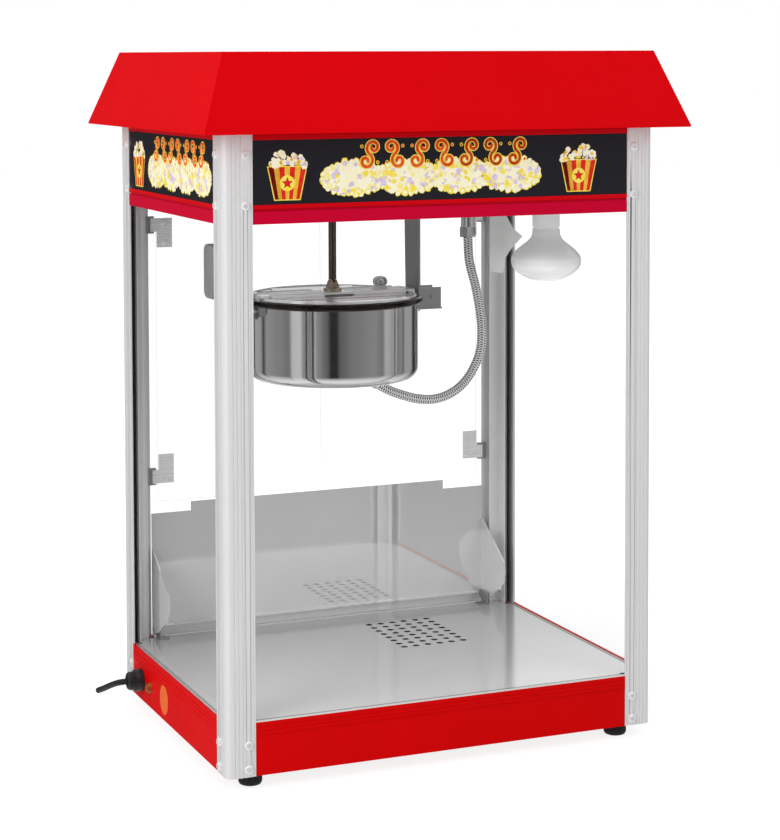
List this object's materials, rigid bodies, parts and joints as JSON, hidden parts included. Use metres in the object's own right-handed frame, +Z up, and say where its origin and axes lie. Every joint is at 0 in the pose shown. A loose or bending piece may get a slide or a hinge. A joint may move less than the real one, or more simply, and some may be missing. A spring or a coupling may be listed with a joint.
{
  "type": "countertop popcorn machine",
  "caption": "Countertop popcorn machine: glazed cabinet with hipped roof, corner posts, tilting kettle with half lids, stirrer drive, lamp, rear doors, tilting flap and crumb drawer.",
  "frame": {"origin": "on the supporting surface, under the middle of the four corner posts and of the roof", "axes": "+Z up, -Y towards the front glass, +Y towards the operator's doors, +X to the right seen from the front"},
  "size_m": [0.5601, 0.432, 0.765],
  "materials": {
    "red_paint": "gloss powder coat",
    "aluminium": "satin anodised",
    "stainless": "brushed",
    "polished": "polished",
    "zinc": "zinc plated",
    "rubber": "matt",
    "glass": "clear",
    "acrylic": "clear",
    "black_plastic": "matt",
    "grey_plastic": "satin",
    "sign": "printed gloss",
    "frosted": "frosted",
    "brass": "machined",
    "label": "printed",
    "dark_rim": "gloss"
  },
  "bodies": {
    "cabinet": {"base_front_rail": "red_paint", "base_left_rail": "red_paint", "base_pan": "zinc", "base_rear_rail": "red_paint", "base_right_rail": "red_paint", "ceiling_plate": "zinc", "conduit_gland": "polished", "cord_gland": "black_plastic", "earth_stud": "brass", "fascia_front": "red_paint", "fascia_rear": "red_paint", "fascia_sides": "red_paint", "glass_front": "glass", "glass_gaskets": "rubber", "glass_sides": "glass", "heater_conduit": "polished", "kettle_hangers": "stainless", "lamp_bracket": "stainless", "lamp_bulb": "frosted", "lamp_socket": "grey_plastic", "popcorn_floor": "stainless", "post_front_left": "aluminium", "post_front_right": "aluminium", "post_rear_left": "aluminium", "post_rear_right": "aluminium", "post_screws": "polished", "power_cord": "rubber", "rear_pivot_brackets": "zinc", "roof_shell": "red_paint", "rubber_feet": "rubber", "side_label": "label", "sign_panels": "sign", "stirrer_gearmotor": "zinc", "switch_housings": "black_plastic"},
    "left_door": {"left_door_panel": "acrylic", "left_door_plates": "polished", "left_door_handle": "polished"},
    "right_door": {"right_door_panel": "acrylic", "right_door_plates": "polished", "right_door_handle": "polished"},
    "flap": {"rear_flap": "polished"},
    "kettle": {"kettle_shell": "polished", "kettle_pan": "stainless", "kettle_rim": "dark_rim", "lid_bridge": "polished", "kettle_pivot_pins": "polished", "kettle_heater": "zinc", "conduit_connector": "polished", "tilt_lever": "zinc", "tilt_lever_grip": "grey_plastic"},
    "front_lid_body": {"front_lid": "polished"},
    "rear_lid_body": {"rear_lid": "polished", "lid_knob": "polished"},
    "stirrer_body": {"stirrer": "brass"},
    "drive_body": {"drive_shaft": "zinc"},
    "drawer": {"crumb_drawer": "stainless"},
    "rocker_light_body": {"rocker_light": "black_plastic"},
    "rocker_heat_body": {"rocker_heat": "black_plastic"},
    "rocker_stir_body": {"rocker_stir": "black_plastic"}
  },
  "joints": [
    {"name": "left_door_hinge", "type": "hinge", "parent": "cabinet", "child": "left_door", "pos_m": [-0.2135, 0.182, 0.4], "axis": [0, 0, 1], "range_deg": [0, 105]},
    {"name": "right_door_hinge", "type": "hinge", "parent": "cabinet", "child": "right_door", "pos_m": [0.2135, 0.182, 0.4], "axis": [0, 0, -1], "range_deg": [0, 105]},
    {"name": "flap_tilt", "type": "hinge", "parent": "cabinet", "child": "flap", "pos_m": [0, 0.177, 0.08], "axis": [-1, 0, 0], "range_deg": [0, 35]},
    {"name": "kettle_tilt", "type": "hinge", "parent": "cabinet", "child": "kettle", "pos_m": [-0.057, 0, 0.478], "axis": [1, 0, 0], "range_deg": [0, 52], "deforming": ["heater_conduit"]},
    {"name": "front_lid_hinge", "type": "hinge", "parent": "kettle", "child": "front_lid_body", "pos_m": [-0.057, -0.0195, 0.4932], "axis": [-1, 0, 0], "range_deg": [0, 90]},
    {"name": "rear_lid_hinge", "type": "hinge", "parent": "kettle", "child": "rear_lid_body", "pos_m": [-0.057, 0.0195, 0.4932], "axis": [1, 0, 0], "range_deg": [0, 90]},
    {"name": "drive_spin", "type": "hinge", "parent": "cabinet", "child": "drive_body", "pos_m": [-0.057, 0, 0.55], "axis": [0, 0, 1], "continuous": true},
    {"name": "stirrer_spin", "type": "hinge", "parent": "kettle", "child": "stirrer_body", "pos_m": [-0.057, 0, 0.45], "axis": [0, 0, 1], "continuous": true},
    {"name": "drawer_slide", "type": "slide", "parent": "cabinet", "child": "drawer", "axis": [0, 1, 0], "range_m": [0, 0.15]},
    {"name": "rocker_light_tilt", "type": "hinge", "parent": "cabinet", "child": "rocker_light_body", "pos_m": [0.06, 0.184, 0.641], "axis": [1, 0, 0], "range_deg": [0, 20]},
    {"name": "rocker_heat_tilt", "type": "hinge", "parent": "cabinet", "child": "rocker_heat_body", "pos_m": [0.1, 0.184, 0.641], "axis": [1, 0, 0], "range_deg": [0, 20]},
    {"name": "rocker_stir_tilt", "type": "hinge", "parent": "cabinet", "child": "rocker_stir_body", "pos_m": [0.14, 0.184, 0.641], "axis": [1, 0, 0], "range_deg": [0, 20]}
  ],
  "couplings": [
    {"joint": "stirrer_spin", "follows": "drive_spin", "ratio": 1}
  ]
}
